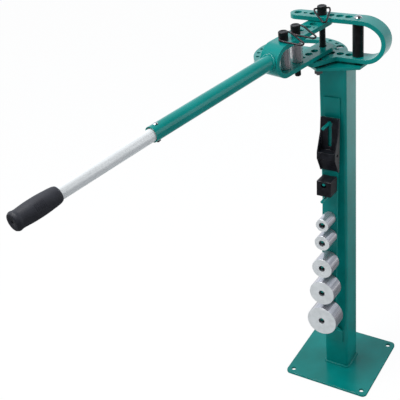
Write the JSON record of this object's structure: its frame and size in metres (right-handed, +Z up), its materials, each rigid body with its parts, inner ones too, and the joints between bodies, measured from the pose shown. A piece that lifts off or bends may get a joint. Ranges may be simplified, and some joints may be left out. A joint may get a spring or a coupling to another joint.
{
  "type": "tube bender",
  "caption": "Floor-standing compact tube bender: square post, flat-bar frame with spare pin holes, swing lever with rollers, and dies stored on pegs.",
  "frame": {"origin": "middle of the base plate's underside, on the floor", "axes": "+Z up the post, +X towards the bar frame's bend, -Y towards the die rack"},
  "size_m": [0.3406, 0.9334, 0.9834],
  "materials": {
    "green_paint": "gloss",
    "black_steel": "satin",
    "turned_steel": "satin",
    "plated_bar": "satin",
    "zinc_hardware": "satin",
    "grip_rubber": "matt"
  },
  "bodies": {
    "stand": {"base_plate": "green_paint", "post_tube": "green_paint", "foot_weld": "green_paint", "head_weld": "green_paint", "head_plate": "green_paint", "angle_ring": "green_paint", "main_frame": "green_paint", "side_leg": "green_paint", "spacer_column": "black_steel", "spacer_screws": "zinc_hardware", "side_screw": "zinc_hardware", "ring_screw": "zinc_hardware", "ring_washer": "zinc_hardware", "frame_nuts": "zinc_hardware", "bolt_spacers": "black_steel", "rack_strip": "green_paint", "rack_pegs": "green_paint", "lever_washer": "zinc_hardware"},
    "lever": {"lever_bracket": "green_paint", "lever_weld": "green_paint", "socket_tube": "green_paint", "handle_bar": "plated_bar", "cross_screw": "zinc_hardware", "grip": "grip_rubber"},
    "pin_pivot_body": {"pin_pivot": "black_steel"},
    "bail_pivot_body": {"bail_pivot": "black_steel"},
    "pin_inner_body": {"pin_inner": "black_steel"},
    "bail_inner_body": {"bail_inner": "black_steel"},
    "pin_outer_body": {"pin_outer": "black_steel"},
    "bail_outer_body": {"bail_outer": "black_steel"},
    "roller_inner_body": {"roller_inner": "turned_steel"},
    "roller_outer_body": {"roller_outer": "turned_steel"},
    "die_1_body": {"die_1": "turned_steel"},
    "die_2_body": {"die_2": "turned_steel"},
    "die_3_body": {"die_3": "turned_steel"},
    "die_4_body": {"die_4": "turned_steel"},
    "die_5_body": {"die_5": "turned_steel"},
    "pressure_foot_body": {"pressure_foot": "black_steel"},
    "square_block_body": {"square_block": "black_steel"}
  },
  "joints": [
    {"name": "lever_swing", "type": "hinge", "parent": "stand", "child": "lever", "pos_m": [-0.0346, 0, 0.91785], "axis": [0, 0, 1], "range_deg": [-126, 60]},
    {"name": "pin_pivot_lift", "type": "slide", "parent": "stand", "child": "pin_pivot_body", "axis": [0, 0, 1], "range_m": [0, 0.1]},
    {"name": "bail_pivot_fold", "type": "hinge", "parent": "pin_pivot_body", "child": "bail_pivot_body", "pos_m": [-0.0346, 0, 0.9774], "axis": [-0.866, -0.5, 0], "range_deg": [0, 150]},
    {"name": "pin_inner_lift", "type": "slide", "parent": "lever", "child": "pin_inner_body", "axis": [-0.0054, -0.0256, 0.9997], "range_m": [0, 0.1]},
    {"name": "bail_inner_fold", "type": "hinge", "parent": "pin_inner_body", "child": "bail_inner_body", "pos_m": [-0.05397, -0.09113, 0.96128], "axis": [-0.2619, -0.9115, -0.3172], "range_deg": [0, 150]},
    {"name": "pin_outer_lift", "type": "slide", "parent": "lever", "child": "pin_outer_body", "axis": [-0.0054, -0.0256, 0.9997], "range_m": [0, 0.08]},
    {"name": "bail_outer_fold", "type": "hinge", "parent": "pin_outer_body", "child": "bail_outer_body", "pos_m": [-0.06249, -0.13122, 0.9602], "axis": [-0.2619, -0.9115, -0.3172], "range_deg": [0, 150]},
    {"name": "roller_inner_turn", "type": "hinge", "parent": "lever", "child": "roller_inner_body", "pos_m": [-0.0537, -0.08987, 0.91214], "axis": [-0.0054, -0.0256, 0.9997], "continuous": true},
    {"name": "roller_outer_turn", "type": "hinge", "parent": "lever", "child": "roller_outer_body", "pos_m": [-0.06223, -0.12996, 0.91107], "axis": [-0.0054, -0.0256, 0.9997], "continuous": true},
    {"name": "die_1_off", "type": "slide", "parent": "stand", "child": "die_1_body", "axis": [0, -0.9982, 0.0593], "range_m": [0, 0.055]},
    {"name": "die_2_off", "type": "slide", "parent": "stand", "child": "die_2_body", "axis": [0, -0.9982, 0.0593], "range_m": [0, 0.055]},
    {"name": "die_3_off", "type": "slide", "parent": "stand", "child": "die_3_body", "axis": [0, -0.9982, 0.0593], "range_m": [0, 0.055]},
    {"name": "die_4_off", "type": "slide", "parent": "stand", "child": "die_4_body", "axis": [0, -0.9982, 0.0593], "range_m": [0, 0.055]},
    {"name": "die_5_off", "type": "slide", "parent": "stand", "child": "die_5_body", "axis": [0, -0.9982, 0.0593], "range_m": [0, 0.055]},
    {"name": "pressure_foot_off", "type": "slide", "parent": "stand", "child": "pressure_foot_body", "axis": [0, -0.9982, 0.0593], "range_m": [0, 0.055]},
    {"name": "square_block_off", "type": "slide", "parent": "stand", "child": "square_block_body", "axis": [0, -0.9982, 0.0593], "range_m": [0, 0.055]}
  ]
}
